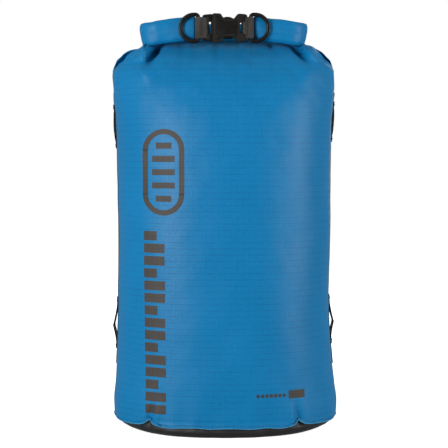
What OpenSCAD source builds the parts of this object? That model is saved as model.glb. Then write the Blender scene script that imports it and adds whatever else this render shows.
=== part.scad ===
// Roll-top dry bag, filled and closed, standing on its base.
// Millimetres. +Z is up, the buckle faces -Y, and the origin is at the middle of the base.

/* [Shell] */
// Width across the shoulders
shoulder_w = 266; // [256:2:276]
// Width at the waist
waist_w = 252; // [240:2:256]
// Width just above the base
base_w = 265; // [254:1:270]
// Width of the closed neck, under the roll
neck_w = 198; // [180:2:200]
// Front-to-back depth at the waist
body_d = 216; // [190:2:230]
// Thickness of the coated fabric, with its lining
wall = 1.6; // [1.2:0.1:2]
// Height of the fabric body, up to the neck
neck_z = 451.7; // [451:0.1:451.7]

/* [Base] */
// Height of the blue hem's lower edge
hem_z = 11; // [9:0.5:13]
// How far the base panel is tucked up behind the hem
tuck_h = 9; // [7:1:14]
// Thickness of the base panel's floor
floor_t = 2.4; // [2:0.2:3]

/* [Rolled closure] */
// Height of the rolled band
roll_h = 28; // [26:1:28]
// Front-to-back thickness of the rolled band
roll_t = 11; // [9:1:12]
// Overall width of the closure, bend to bend
roll_w = 200; // [190:2:210]
// Centre-line radius of the bends at both ends
bend_r = 17; // [16:0.5:19]
// Underside of the rolled band
roll_z = 453; // [453:0.5:455]

/* [Webbing and rings] */
// Width of the webbing on the buckle
web_w = 25; // [20:1:25]
// Thickness of one layer of webbing
web_t = 1.3; // [1.1:0.1:1.5]
// Diameter of the bar that the D-rings are moulded from
ring_bar_d = 4.5; // [4:0.1:4.6]
// Overall height of a D-ring
ring_h = 35.5; // [34:0.5:36]
// Reach of a D-ring from the middle of its straight bar
ring_reach = 22.9; // [21:0.1:24]

/* [Buckle] */
// Height of the buckle, across the webbing
buckle_h = 32.4; // [31:0.2:33]
// Front-to-back thickness of the socket half
buckle_t = 12; // [11.5:0.5:12.5]
// Height of the buckle's centre line
buckle_z = 470.3; // [469:0.1:471]

/* [Side lash points] */
// Width of the webbing sewn down each side
lash_w = 20; // [16:1:24]
// Thickness of that webbing
lash_t = 1.2; // [1:0.1:1.6]
// Clear gap at the middle of a lash loop
loop_gap = 4.6; // [4.6:0.2:5.6]
// How far behind the widest line of the side the webbing is sewn
lash_y = 8; // [0:1:10]

/* [Hidden] */

// Colours
blue = [0.13, 0.44, 0.69];
black = [0.12, 0.12, 0.13];
web_grey = [0.28, 0.26, 0.25];
tape_grey = [0.62, 0.66, 0.70];
thread = [0.08, 0.08, 0.09];

// Shell: half width and half depth at each height, and how far the section sits behind the middle
width_points = [
    [0, base_w / 2 - 24.5],
    [2.5, base_w / 2 - 15],
    [5, base_w / 2 - 10],
    [hem_z, base_w / 2 - 3.5],
    [18, base_w / 2 - 0.4],
    [30, base_w / 2],
    [50, base_w / 2 - 2.3],
    [75, base_w / 2 - 4.3],
    [145, waist_w / 2 - 0.6],
    [240, waist_w / 2],
    [310, waist_w / 2 + 0.3],
    [338, waist_w / 2 + 0.8],
    [362, waist_w / 2 + 2.2],
    [386, shoulder_w / 2 - 2.5],
    [410, shoulder_w / 2 - 0.8],
    [420, shoulder_w / 2],
    [434, shoulder_w / 2 - 5],
    [439, shoulder_w / 2 - 10.4],
    [443, shoulder_w / 2 - 14.6],
    [446, shoulder_w / 2 - 20.5],
    [neck_z, neck_w / 2]
];
depth_points = [
    [0, body_d / 2 - 18],
    [5, body_d / 2 - 12],
    [hem_z, body_d / 2 - 9],
    [30, body_d / 2 - 6],
    [75, body_d / 2 - 3],
    [180, body_d / 2],
    [310, body_d / 2 - 2],
    [362, body_d / 2 - 9],
    [400, body_d / 2 - 22],
    [420, body_d / 2 - 37],
    [434, body_d / 2 - 54],
    [442, body_d / 2 - 74],
    [neck_z, 5]
];
shift_points = [[0, 0], [360, 0], [434, 6], [442, 9], [neck_z, 11]];
corner_power = 2.3;
half_steps = 22;
seam_gap = 0.1;

function half_width(z) = lookup(z, width_points);
function half_depth(z) = lookup(z, depth_points);
function shift(z) = lookup(z, shift_points);
function power(v) = sign(v) * pow(abs(v), 2 / corner_power);
function oval_point(z, inset, angle) = [
    (half_width(z) - inset) * power(cos(angle)),
    (half_depth(z) - inset) * power(sin(angle)) + shift(z),
    z
];
function oval_row(z, inset, from, to, steps) = [
    for (k = [0 : steps]) oval_point(z, inset, from + (to - from) * k / steps)
];
shell_heights = [
    for (p = width_points) if (p[0] >= hem_z) p[0]
];

// Buckle and rings, along X from the left ring to the right ring
male_bar_x = -21.5;
female_bar_x = 23.9;
bar_pitch = 8;
left_ring_x = male_bar_x - bar_pitch;
right_ring_x = female_bar_x + bar_pitch;
buckle_y = -31.3;
web_bar_r = 1.7;
bar_clear = 0.2;
joint_clear = 0.3;

// Rolled closure, in plan
bend_x = roll_w / 2 - bend_r - roll_t / 2;
back_run_y = 11;
bend_y = back_run_y - bend_r;
front_run_y = bend_y - bend_r;
left_lobe_x = -37.5;
right_lobe_x = 40;
tab_slot_t = 3;
tab_slot_depth = 12;

// Lash loops: lower and upper end of each loop's free part
left_upper = [338, 374];
left_lower = [98, 144];
right_upper = [346, 378];
right_lower = [104, 147];
lash_z = [72, 396];
loop_steps = 14;
lash_seat = 0.15;
tack_off = 4;
tack_t = 0.6;
tack_h = 3;
tack_inset = 4;

// A wall between two grids of points. Rows go up, columns go round anticlockwise from above.
function grid_faces(rows, cols) = [
    for (i = [0 : rows - 2], j = [0 : cols - 2])
        each let (a = i * cols + j, b = a + cols, n = rows * cols) [
            [a, b, b + 1],
            [a, b + 1, a + 1],
            [n + a, n + b + 1, n + b],
            [n + a, n + a + 1, n + b + 1]
        ]
];
function rim_faces(rows, cols) = [
    for (j = [0 : cols - 2])
        each let (n = rows * cols, top = (rows - 1) * cols) [
            [n + j, j, j + 1],
            [n + j, j + 1, n + j + 1],
            [top + j, n + top + j, n + top + j + 1],
            [top + j, n + top + j + 1, top + j + 1]
        ]
];
function side_faces(rows, cols) = [
    for (i = [0 : rows - 2])
        each let (a = i * cols, b = a + cols, n = rows * cols, e = cols - 1) [
            [n + a, n + b, b],
            [n + a, b, a],
            [a + e, b + e, n + b + e],
            [a + e, n + b + e, n + a + e]
        ]
];

// Half of the fabric tube, from one side seam to the other
module half_shell(from, to) {
    outer = [for (z = shell_heights) each oval_row(z, 0, from, to, half_steps)];
    inner = [for (z = shell_heights) each oval_row(z, wall, from, to, half_steps)];
    rows = len(shell_heights);
    cols = half_steps + 1;
    faces = concat(grid_faces(rows, cols), rim_faces(rows, cols), side_faces(rows, cols));
    polyhedron(points = concat(outer, inner), faces = faces);
}

// Closed ring of wall: each row is [height, inset of the outer face]
function closed_grid_faces(rows, cols) = [
    for (i = [0 : rows - 2], j = [0 : cols - 1])
        each let (k = (j + 1) % cols, r = i * cols, s = r + cols, n = rows * cols) [
            [r + j, s + j, s + k],
            [r + j, s + k, r + k],
            [n + r + j, n + s + k, n + s + j],
            [n + r + j, n + r + k, n + s + k]
        ]
];
function closed_top_faces(rows, cols) = [
    for (j = [0 : cols - 1])
        each let (k = (j + 1) % cols, n = rows * cols, top = (rows - 1) * cols) [
            [top + j, n + top + j, n + top + k],
            [top + j, n + top + k, top + k]
        ]
];
function closed_bottom_faces(rows, cols) = [
    for (j = [0 : cols - 1])
        each let (k = (j + 1) % cols, n = rows * cols) [
            [n + j, j, k],
            [n + j, k, n + k]
        ]
];
function ring_row(z, inset) = [
    for (k = [0 : 2 * half_steps - 1]) oval_point(z, inset, 180 * k / half_steps)
];

module front_panel() {
    color(blue) translate([0, -seam_gap, 0]) half_shell(180, 360);
}

module back_panel() {
    color(blue) translate([0, seam_gap, 0]) half_shell(0, 180);
}

// Oval floor with its edge turned up, then tucked behind the hem
module base_panel() {
    tuck = wall + 0.3;
    rows = [[0, 0], [2.5, 0], [5, 0], [hem_z - 1.4, 0.2], [hem_z - 0.3, tuck], [hem_z + tuck_h, tuck]];
    cols = 2 * half_steps;
    outer = [for (r = rows) each ring_row(r[0], r[1])];
    floor_row = [for (p = ring_row(0, wall)) [p[0], p[1], floor_t]];
    inner = concat(floor_row, [
        for (i = [1 : len(rows) - 1]) each ring_row(rows[i][0], rows[i][1] + wall)
    ]);
    underside = [for (j = [0 : cols - 1]) j];
    inside_floor = [for (j = [0 : cols - 1]) len(rows) * cols + cols - 1 - j];
    faces = concat(
        closed_grid_faces(len(rows), cols),
        closed_top_faces(len(rows), cols),
        [underside, inside_floor]
    );
    color(black) polyhedron(points = concat(outer, inner), faces = faces);
}

module base_seam_tape() {
    inset = 2 * wall + 0.7;
    tape_t = 0.8;
    rows = [hem_z + 1, hem_z + tuck_h];
    cols = 2 * half_steps;
    outer = [for (z = rows) each ring_row(z, inset)];
    inner = [for (z = rows) each ring_row(z, inset + tape_t)];
    faces = concat(
        closed_grid_faces(2, cols), closed_top_faces(2, cols), closed_bottom_faces(2, cols)
    );
    color(tape_grey) polyhedron(points = concat(outer, inner), faces = faces);
}

// Heights at which a strip down the side bends, from z0 to z1
function strip_heights(z0, z1) = concat(
    [z0], [for (p = width_points) if (p[0] > z0 && p[0] < z1) p[0]], [z1]
);

// Flat strip that follows the side, its inner face a given distance outside the shell and its middle set back
module side_strip(z0, z1, off, thick, wide, side, back = 0) {
    heights = strip_heights(z0, z1);
    count = len(heights);
    inner = [for (z = heights) [side * (half_width(z) + off), z]];
    outer = [
        for (i = [0 : count - 1]) let (z = heights[count - 1 - i])
            [side * (half_width(z) + off + thick), z]
    ];
    translate([0, back + wide / 2, 0])
        rotate([90, 0, 0])
            linear_extrude(wide) polygon(concat(inner, outer));
}

module seam_tape(side) {
    tape_t = 0.6;
    tape_w = 18;
    tape_gap = 1.1;
    color(tape_grey) side_strip(30, 420, -wall - tape_gap - tape_t, tape_t, tape_w, side);
}

// Lash strip: sewn flat to the side, apart from the loops that stand off between their bar tacks
function loop_lift(z, spans) = max([
    for (span = spans)
        z <= span[0] || z >= span[1]
            ? 0
            : loop_gap * pow(sin(180 * (z - span[0]) / (span[1] - span[0])), 0.6)
]);
function lash_heights(spans) = concat(
    strip_heights(lash_z[0], spans[0][0]),
    [for (k = [1 : loop_steps - 1]) spans[0][0] + (spans[0][1] - spans[0][0]) * k / loop_steps],
    strip_heights(spans[0][1], spans[1][0]),
    [for (k = [1 : loop_steps - 1]) spans[1][0] + (spans[1][1] - spans[1][0]) * k / loop_steps],
    strip_heights(spans[1][1], lash_z[1])
);
module lash_strip(spans, side) {
    heights = lash_heights(spans);
    count = len(heights);
    inner = [for (z = heights) [side * (half_width(z) + lash_seat + loop_lift(z, spans)), z]];
    outer = [for (i = [1 : count]) inner[count - i] + [side * lash_t, 0]];
    color(black)
        translate([0, lash_y + lash_w / 2, 0])
            rotate([90, 0, 0])
                linear_extrude(lash_w) polygon(concat(inner, outer));
}

module bar_tacks(spans, side) {
    off = lash_seat + lash_t + 0.1;
    color(thread)
        for (span = spans, z = [span[0] - tack_off, span[1] + tack_off])
            side_strip(z - tack_h / 2, z + tack_h / 2, off, tack_t, lash_w - tack_inset, side, lash_y);
}

// Bend at one end of the roll, in plan, for the right side
module bend_2d() {
    outer_r = bend_r + roll_t / 2;
    inner_r = bend_r - roll_t / 2;
    translate([bend_x, bend_y])
        difference() {
            circle(r = outer_r, $fn = 96);
            circle(r = inner_r, $fn = 96);
            translate([-2 * outer_r, -outer_r]) square([2 * outer_r, 2 * outer_r]);
        }
}

// Front lobe from the bend to its free end at x, with a slot for the webbing
module lobe_2d(x) {
    difference() {
        translate([x, front_run_y - roll_t / 2]) square([bend_x - x, roll_t]);
        translate([x - 1, front_run_y - tab_slot_t / 2]) square([tab_slot_depth + 1, tab_slot_t]);
    }
}

stiffener_l = 140;
stiffener_t = 1;
stiffener_h = 18;

module rolled_collar() {
    color(blue)
        translate([0, 0, roll_z])
            difference() {
                linear_extrude(roll_h) {
                    bend_2d();
                    lobe_2d(right_lobe_x);
                    translate([-bend_x, back_run_y - roll_t / 2]) square([2 * bend_x, roll_t]);
                }
                translate([-stiffener_l / 2 - 0.5, back_run_y - stiffener_t / 2 - 0.3, -1])
                    cube([stiffener_l + 1, stiffener_t + 0.6, stiffener_h + 5]);
            }
}

module rolled_collar_end() {
    color(blue)
        translate([0, 0, roll_z])
            linear_extrude(roll_h)
                mirror([1, 0]) {
                    bend_2d();
                    lobe_2d(-left_lobe_x);
                }
}

module mouth_stiffener() {
    color(black)
        translate([-stiffener_l / 2, back_run_y - stiffener_t / 2, roll_z + 3])
            cube([stiffener_l, stiffener_t, stiffener_h]);
}

// Webbing tab for a ring to the left of the buckle's bar: it wraps both bars and is sewn into the lobe
ring_hole_r = ring_bar_d / 2 + bar_clear;
web_hole_r = web_bar_r + bar_clear;
module webbing_wrap(x, hole_r) {
    translate([x, buckle_y, 0]) cylinder(r = hole_r + web_t, h = web_w, $fn = 64);
}
module bar_hole(x, hole_r) {
    translate([x, buckle_y, -1]) cylinder(r = hole_r, h = web_w + 2, $fn = 64);
}
module webbing_tail(ring_x, lobe_x) {
    tail_end_x = lobe_x - tab_slot_depth + 2;
    knee_x = lobe_x + 2;
    wrap_top = buckle_y + ring_hole_r + web_t;
    linear_extrude(web_w)
        polygon([
            [tail_end_x, front_run_y - web_t],
            [knee_x - 1, front_run_y - web_t],
            [ring_x - 2, wrap_top - 1.1],
            [ring_x + 1, wrap_top - 0.2],
            [knee_x, front_run_y + web_t],
            [tail_end_x, front_run_y + web_t]
        ]);
}
module webbing_tab(ring_x, bar_x, lobe_x) {
    translate([0, 0, buckle_z - web_w / 2])
        difference() {
            union() {
                webbing_wrap(ring_x, ring_hole_r);
                webbing_wrap(bar_x, web_hole_r);
                translate([ring_x, buckle_y - web_t, 0]) cube([bar_x - ring_x, 2 * web_t, web_w]);
                webbing_tail(ring_x, lobe_x);
            }
            bar_hole(ring_x, ring_hole_r);
            bar_hole(bar_x, web_hole_r);
        }
}

module left_webbing_tab() {
    color(web_grey) webbing_tab(left_ring_x, male_bar_x, left_lobe_x);
}

module right_webbing_tab() {
    color(web_grey)
        mirror([1, 0, 0]) webbing_tab(-right_ring_x, -female_bar_x, -right_lobe_x);
}

// Bar tack across the tab, between the ring and the buckle's bar
module tab_stitching(x) {
    tack_l = web_w - 5;
    color(thread)
        translate([x - 0.5, buckle_y - web_t - 0.5, buckle_z - tack_l / 2])
            cube([1, 0.4, tack_l]);
}

// D-ring, reaching to the left of its straight bar
module d_ring_shape() {
    r = ring_bar_d / 2;
    arc_r = ring_h / 2 - r;
    arm = ring_reach - r - arc_r;
    translate([0, 0, -arc_r]) cylinder(r = r, h = 2 * arc_r, $fn = 48);
    for (end = [-1, 1])
        translate([0, 0, end * arc_r]) {
            sphere(r = r, $fn = 48);
            rotate([0, -90, 0]) cylinder(r = r, h = arm, $fn = 48);
        }
    translate([-arm, 0, 0])
        rotate([90, 0, 0])
            rotate([0, 0, 90]) rotate_extrude(angle = 180, $fn = 96) translate([arc_r, 0]) circle(r = r, $fn = 48);
}

module left_d_ring() {
    color(black) translate([left_ring_x, buckle_y, buckle_z]) d_ring_shape();
}

module right_d_ring() {
    color(black) translate([right_ring_x, buckle_y, buckle_z]) mirror([1, 0, 0]) d_ring_shape();
}

// Plate with its outline in X and Z, centred on the buckle's middle plane
module plate(thick) {
    translate([0, buckle_y + thick / 2, buckle_z])
        rotate([90, 0, 0]) linear_extrude(thick) children();
}

// Buckle dimensions along X
mouth_x = -12.6;
male_end_x = -24.6;
female_end_x = 27;
web_window_h = web_w + 0.8;
male_t = 9;
latch_t = 5;

module male_outline() {
    difference() {
        translate([male_end_x, -buckle_h / 2 + 0.4]) square([mouth_x - male_end_x, buckle_h - 0.8]);
        translate([male_end_x - 1, -web_window_h / 2])
            square([mouth_x - male_end_x - 0.6, web_window_h]);
    }
}

module buckle_male() {
    tongue_l = 22;
    tongue_h = 5;
    color(black) {
        plate(male_t) male_outline();
        plate(3.4)
            translate([mouth_x - 0.5, -tongue_h / 2]) square([tongue_l, tongue_h]);
        translate([male_bar_x, buckle_y, buckle_z - web_window_h / 2 - 1])
            cylinder(r = web_bar_r, h = web_window_h + 2, $fn = 48);
    }
}

// Spring arm of the latch, upper one: root at the mouth, catch and thumb button at the window
latch_root_x = mouth_x + 0.15;
module latch_outline() {
    polygon([
        [latch_root_x, 6.4],
        [latch_root_x, 9.2],
        [-1.6, 9.2],
        [-0.4, 12.2],
        [4, 12.9],
        [8.5, 12.4],
        [12.4, 10.2],
        [14.2, 7.4],
        [13, 6.2],
        [2, 6.2]
    ]);
}

module upper_latch_arm() {
    color(black) plate(latch_t) latch_outline();
}

module lower_latch_arm() {
    color(black) plate(latch_t) mirror([0, 1]) latch_outline();
}

// Socket half: outline with a thumb window at the top and the bottom
module female_outline() {
    window = [[-1.9, 20], [-1.9, 9.9], [0.2, 7.6], [13.2, 7.6], [17.4, 20]];
    difference() {
        translate([mouth_x + joint_clear, -buckle_h / 2])
            square([female_end_x - mouth_x - joint_clear, buckle_h]);
        polygon(window);
        mirror([0, 1]) polygon(window);
        translate([18.4, -web_window_h / 2]) square([20, web_window_h]);
    }
}

module buckle_female() {
    cavity_h = 23;
    cavity_t = latch_t + 1.2;
    cavity_end = 15.6;
    color(black) {
        difference() {
            plate(buckle_t) female_outline();
            plate(cavity_t)
                translate([mouth_x - 1, -cavity_h / 2]) square([cavity_end - mouth_x + 1, cavity_h]);
        }
        translate([female_bar_x, buckle_y, buckle_z - web_window_h / 2 - 1])
            cylinder(r = web_bar_r, h = web_window_h + 2, $fn = 48);
    }
}

front_panel();
back_panel();
base_panel();
seam_tape(-1);  // left_seam_tape
seam_tape(1);  // right_seam_tape
base_seam_tape();
lash_strip([left_lower, left_upper], -1);  // left_lash_strip
lash_strip([right_lower, right_upper], 1);  // right_lash_strip
bar_tacks([left_lower, left_upper], -1);  // left_bar_tacks
bar_tacks([right_lower, right_upper], 1);  // right_bar_tacks
rolled_collar();
rolled_collar_end();
mouth_stiffener();
left_webbing_tab();
right_webbing_tab();
tab_stitching((left_ring_x + male_bar_x) / 2);  // left_tab_stitching
tab_stitching((right_ring_x + female_bar_x) / 2);  // right_tab_stitching
left_d_ring();
right_d_ring();
buckle_male();
upper_latch_arm();
lower_latch_arm();
buckle_female();
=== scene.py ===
# Looks for the roll-top dry bag: fabric shell, base, rolled closure, buckle, rings, lash strips, print.
# Sizes are millimetres until make_mesh() turns them into metres. +Z is up, the front faces -Y.
import math

import bmesh
import bpy
import numpy as np
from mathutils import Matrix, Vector


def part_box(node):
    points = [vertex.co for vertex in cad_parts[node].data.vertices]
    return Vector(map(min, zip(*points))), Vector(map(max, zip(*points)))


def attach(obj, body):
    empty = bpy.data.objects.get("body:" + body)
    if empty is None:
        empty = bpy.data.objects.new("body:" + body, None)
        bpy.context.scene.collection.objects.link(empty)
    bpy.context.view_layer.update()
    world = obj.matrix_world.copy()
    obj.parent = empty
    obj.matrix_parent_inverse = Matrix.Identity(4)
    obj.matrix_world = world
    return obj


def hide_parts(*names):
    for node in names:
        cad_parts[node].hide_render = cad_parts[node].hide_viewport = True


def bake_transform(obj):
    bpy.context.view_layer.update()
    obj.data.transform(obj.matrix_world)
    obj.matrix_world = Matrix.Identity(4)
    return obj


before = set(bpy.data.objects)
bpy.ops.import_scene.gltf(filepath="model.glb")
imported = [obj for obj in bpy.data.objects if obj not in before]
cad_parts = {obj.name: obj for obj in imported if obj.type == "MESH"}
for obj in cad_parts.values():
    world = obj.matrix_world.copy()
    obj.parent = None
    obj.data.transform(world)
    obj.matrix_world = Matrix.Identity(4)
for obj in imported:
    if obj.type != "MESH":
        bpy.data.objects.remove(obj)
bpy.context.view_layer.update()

MM = 0.001
TAU = 2 * math.pi


# ---------- mesh helpers
def box_mm(node):
    """A CAD node's box as two arrays, in millimetres."""
    lo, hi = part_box(node)
    return np.array(lo) / MM, np.array(hi) / MM


def make_mesh(name, verts, faces, material, uv=None, smooth=True, tidy=False):
    """An object from points in millimetres; uv has one pair for each point."""
    mesh = bpy.data.meshes.new(name)
    faces = faces.tolist() if isinstance(faces, np.ndarray) else faces
    mesh.from_pydata((np.reshape(verts, (-1, 3)) * MM).tolist(), [], faces)
    if uv is not None:
        layer = mesh.uv_layers.new(name="weave")
        index = np.empty(len(mesh.loops), int)
        mesh.loops.foreach_get("vertex_index", index)
        layer.data.foreach_set("uv", np.reshape(uv, (-1, 2)).astype(np.float32)[index].ravel())
    if tidy:
        tidy_mesh(mesh)
    mesh.polygons.foreach_set("use_smooth", [smooth] * len(mesh.polygons))
    mesh.materials.append(material)
    obj = bpy.data.objects.new(name, mesh)
    bpy.context.scene.collection.objects.link(obj)
    return obj


def tidy_mesh(mesh, distance=0.00001):
    """Joins doubled points and turns every face outwards."""
    bm = bmesh.new()
    bm.from_mesh(mesh)
    bmesh.ops.remove_doubles(bm, verts=bm.verts, dist=distance)
    bmesh.ops.recalc_face_normals(bm, faces=bm.faces)
    bm.to_mesh(mesh)
    bm.free()


def quads(rows, cols, close_rows=False, close_cols=False, start=0):
    """Faces of a grid of points stored row by row."""
    r = np.arange(rows if close_rows else rows - 1)
    c = np.arange(cols if close_cols else cols - 1)
    r, c = np.meshgrid(r, c, indexing="ij")
    r, c = r.ravel(), c.ravel()
    r2, c2 = (r + 1) % rows, (c + 1) % cols
    return np.stack([r * cols + c, r * cols + c2, r2 * cols + c2, r2 * cols + c], 1) + start


def tube_faces(rows, cols):
    """Faces of a tube stored row by row, with a flat cap at each end."""
    caps = [list(range(cols))[::-1], [(rows - 1) * cols + i for i in range(cols)]]
    return quads(rows, cols, close_cols=True).tolist() + caps


def make_joined(name, parts, material, tidy=False):
    """One object from parts of (points, faces) or (points, faces, uv)."""
    verts, faces, uvs, count = [], [], [], 0
    for part in parts:
        points = np.asarray(part[0], float)
        verts.append(points)
        faces += [[int(i) + count for i in f] for f in part[1]]
        uvs.append(part[2] if len(part) > 2 else points[:, [0, 2]])
        count += len(points)
    return make_mesh(name, np.concatenate(verts), faces, material, np.concatenate(uvs), tidy=tidy)


def place(obj, body, slot, *nodes):
    """Rides a body and stands for CAD nodes by hiding them; slot is not used."""
    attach(obj, body)
    if nodes:
        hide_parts(*nodes)


def smoothstep(edge0, edge1, value):
    t = np.clip((value - edge0) / (edge1 - edge0), 0, 1)
    return t * t * (3 - 2 * t)


def bell(value, width):
    return np.exp(-((value / width) ** 2))


def signed_power(value, power):
    return np.sign(value) * np.abs(value) ** power


def smooth_curve(points):
    """Monotone cubic through (position, value) pairs."""
    xs, ys = np.array(points, float).T
    h = np.diff(xs)
    d = np.diff(ys) / h
    m = np.zeros_like(xs)
    product = d[:-1] * d[1:]
    total = np.where(np.abs(d[:-1] + d[1:]) < 1e-9, 1, d[:-1] + d[1:])
    m[1:-1] = np.where(product > 0, 2 * product / total, 0)
    m[0], m[-1] = d[0], d[-1]

    def value(x):
        x = np.clip(x, xs[0], xs[-1])
        i = np.clip(np.searchsorted(xs, x) - 1, 0, len(h) - 1)
        t = (x - xs[i]) / h[i]
        return (
            (2 * t**3 - 3 * t**2 + 1) * ys[i]
            + (t**3 - 2 * t**2 + t) * h[i] * m[i]
            + (3 * t**2 - 2 * t**3) * ys[i + 1]
            + (t**3 - t**2) * h[i] * m[i + 1]
        )

    return value


def make_noise(seed, wavelength, count=14):
    """Smooth seeded noise of about -1 to 1 from a sum of sines in random directions."""
    rng = np.random.RandomState(seed)
    way = rng.normal(size=(count, 3))
    way /= np.linalg.norm(way, axis=1)[:, None]
    way *= TAU / (wavelength * rng.uniform(0.7, 1.6, count))[:, None]
    phase = rng.uniform(0, TAU, count)

    def value(p):
        return np.sin(p @ way.T + phase).sum(-1) / math.sqrt(count / 2) / 1.6

    return value


# ---------- node helpers
def new_material(name):
    material = bpy.data.materials.new(name)
    material.use_nodes = True
    tree = material.node_tree
    return material, tree, tree.nodes["Principled BSDF"]


def feed(tree, socket, value):
    """Links an output to a socket, or sets a plain value on it."""
    if isinstance(value, bpy.types.NodeSocket):
        tree.links.new(value, socket)
    else:
        socket.default_value = value


def add(tree, kind, inputs=(), **settings):
    """A node with settings; inputs is a list of (socket, value or output)."""
    node = tree.nodes.new(kind)
    for key, value in settings.items():
        setattr(node, key, value)
    for socket, value in inputs:
        feed(tree, node.inputs[socket], value)
    return node


def calc(tree, operation, a, b=None, c=None):
    inputs = [(i, v) for i, v in enumerate((a, b, c)) if v is not None]
    return add(tree, "ShaderNodeMath", inputs, operation=operation).outputs[0]


def ramp(tree, value, low, high, to_low=0.0, to_high=1.0):
    inputs = [("Value", value), ("From Min", low), ("From Max", high)]
    inputs += [("To Min", to_low), ("To Max", to_high)]
    node = add(tree, "ShaderNodeMapRange", inputs, interpolation_type="SMOOTHSTEP")
    return node.outputs[0]


def blend_colour(tree, factor, a, b):
    """Mixes two colours, each an output or a plain (r, g, b)."""
    a, b = ((*c, 1) if isinstance(c, tuple) else c for c in (a, b))
    return add(tree, "ShaderNodeMix", [(0, factor), (6, a), (7, b)], data_type="RGBA").outputs[2]


def noise_node(tree, scale, detail=2.0, vector=None, roughness=0.5):
    inputs = [("Scale", scale), ("Detail", detail), ("Roughness", roughness)]
    if vector is None:
        vector = tree.nodes.new("ShaderNodeTexCoord").outputs["Object"]
    inputs.append(("Vector", vector))
    return add(tree, "ShaderNodeTexNoise", inputs).outputs["Fac"]


def uv_axes(tree):
    uv = add(tree, "ShaderNodeUVMap", uv_map="weave").outputs[0]
    split = add(tree, "ShaderNodeSeparateXYZ", [(0, uv)])
    return uv, split.outputs[0], split.outputs[1]


def line_mask(tree, axis, pitch, half_width):
    """1 on lines of the given half width that repeat every pitch, both in UV units."""
    cell = calc(tree, "FRACT", calc(tree, "DIVIDE", axis, pitch))
    away = calc(tree, "ABSOLUTE", calc(tree, "SUBTRACT", cell, 0.5))
    return ramp(tree, away, 0.5 - 1.6 * half_width / pitch, 0.5 - 0.4 * half_width / pitch)


def scaled(colour, factor, plus=0.0):
    return tuple(c * factor + plus for c in colour)


def add_bump(tree, shader, height, strength, distance):
    inputs = [("Strength", strength), ("Distance", distance), ("Height", height)]
    tree.links.new(add(tree, "ShaderNodeBump", inputs).outputs[0], shader.inputs["Normal"])


def finish(tree, shader, colour, roughness, specular=None, sheen=None):
    """Gives a shader its colour, roughness and, where they aren't the usual ones, plain values."""
    feed(tree, shader.inputs["Base Color"], colour)
    feed(tree, shader.inputs["Roughness"], roughness)
    if specular is not None:
        shader.inputs["Specular IOR Level"].default_value = specular
    if sheen is not None:
        shader.inputs["Sheen Weight"].default_value = sheen


# ---------- materials
GRID = 7.0  # pitch of the ripstop's thicker threads
WEAVE = 0.7  # pitch of the plain weave between them


def ripstop_material(name, base, line, roughness, sheen, specular=0.3):
    """Coated ripstop: a broken grid of thicker threads over a fine weave, under a mottled coating."""
    material, tree, shader = new_material(name)
    uv, u, v = uv_axes(tree)
    broken_v = ramp(tree, noise_node(tree, 0.075, 2.0, uv), 0.36, 0.62, 0.35, 1.0)
    broken_u = ramp(tree, noise_node(tree, 0.11, 2.0, uv), 0.42, 0.66, 0.0, 0.75)
    weft = calc(tree, "MULTIPLY", line_mask(tree, v, GRID, 0.6), broken_v)
    warp = calc(tree, "MULTIPLY", line_mask(tree, u, GRID, 0.5), broken_u)
    main = calc(tree, "MAXIMUM", warp, weft)
    streak = calc(tree, "MULTIPLY", line_mask(tree, calc(tree, "ADD", u, 1.4), GRID, 0.6), broken_u)
    half_u = line_mask(tree, calc(tree, "ADD", u, GRID / 2), GRID, 0.3)
    half_v = line_mask(tree, calc(tree, "ADD", v, GRID / 2), GRID, 0.3)
    half = calc(tree, "MAXIMUM", half_u, half_v)
    weave = calc(
        tree, "MULTIPLY",
        calc(tree, "SINE", calc(tree, "MULTIPLY", u, TAU / WEAVE)),
        calc(tree, "SINE", calc(tree, "MULTIPLY", v, TAU / WEAVE)),
    )
    coating = noise_node(tree, 14.0, 3.0)
    grain = noise_node(tree, 420.0, 2.0)
    amount = calc(tree, "MULTIPLY_ADD", half, 0.08, calc(tree, "MULTIPLY", main, 0.75))
    colour = blend_colour(tree, amount, base, line)
    thin = ramp(tree, coating, 0.35, 0.75, 0, 0.4)
    colour = blend_colour(tree, thin, colour, scaled(base, 1.15, 0.001))
    pale = calc(tree, "MULTIPLY", streak, 0.3)
    colour = blend_colour(tree, pale, colour, scaled(base, 1.3, 0.002))
    dark = ramp(tree, grain, 0.4, 0.7, 0, 0.28)
    colour = blend_colour(tree, dark, colour, scaled(base, 0.72))
    rough = calc(tree, "MULTIPLY_ADD", grain, 0.1, roughness - 0.12)
    finish(tree, shader, colour, calc(tree, "MULTIPLY_ADD", coating, 0.14, rough), specular, sheen)
    height = calc(tree, "MULTIPLY_ADD", main, 0.9, calc(tree, "MULTIPLY", half, 0.2))
    height = calc(tree, "ADD", height, calc(tree, "MULTIPLY", weave, 0.18))
    height = calc(tree, "MULTIPLY_ADD", grain, 0.5, height)
    add_bump(tree, shader, height, 0.35, 0.00018)
    shader.inputs["Sheen Roughness"].default_value = 0.4
    shader.inputs["Sheen Tint"].default_value = (0.55, 0.75, 1.0, 1)
    return material


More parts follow.
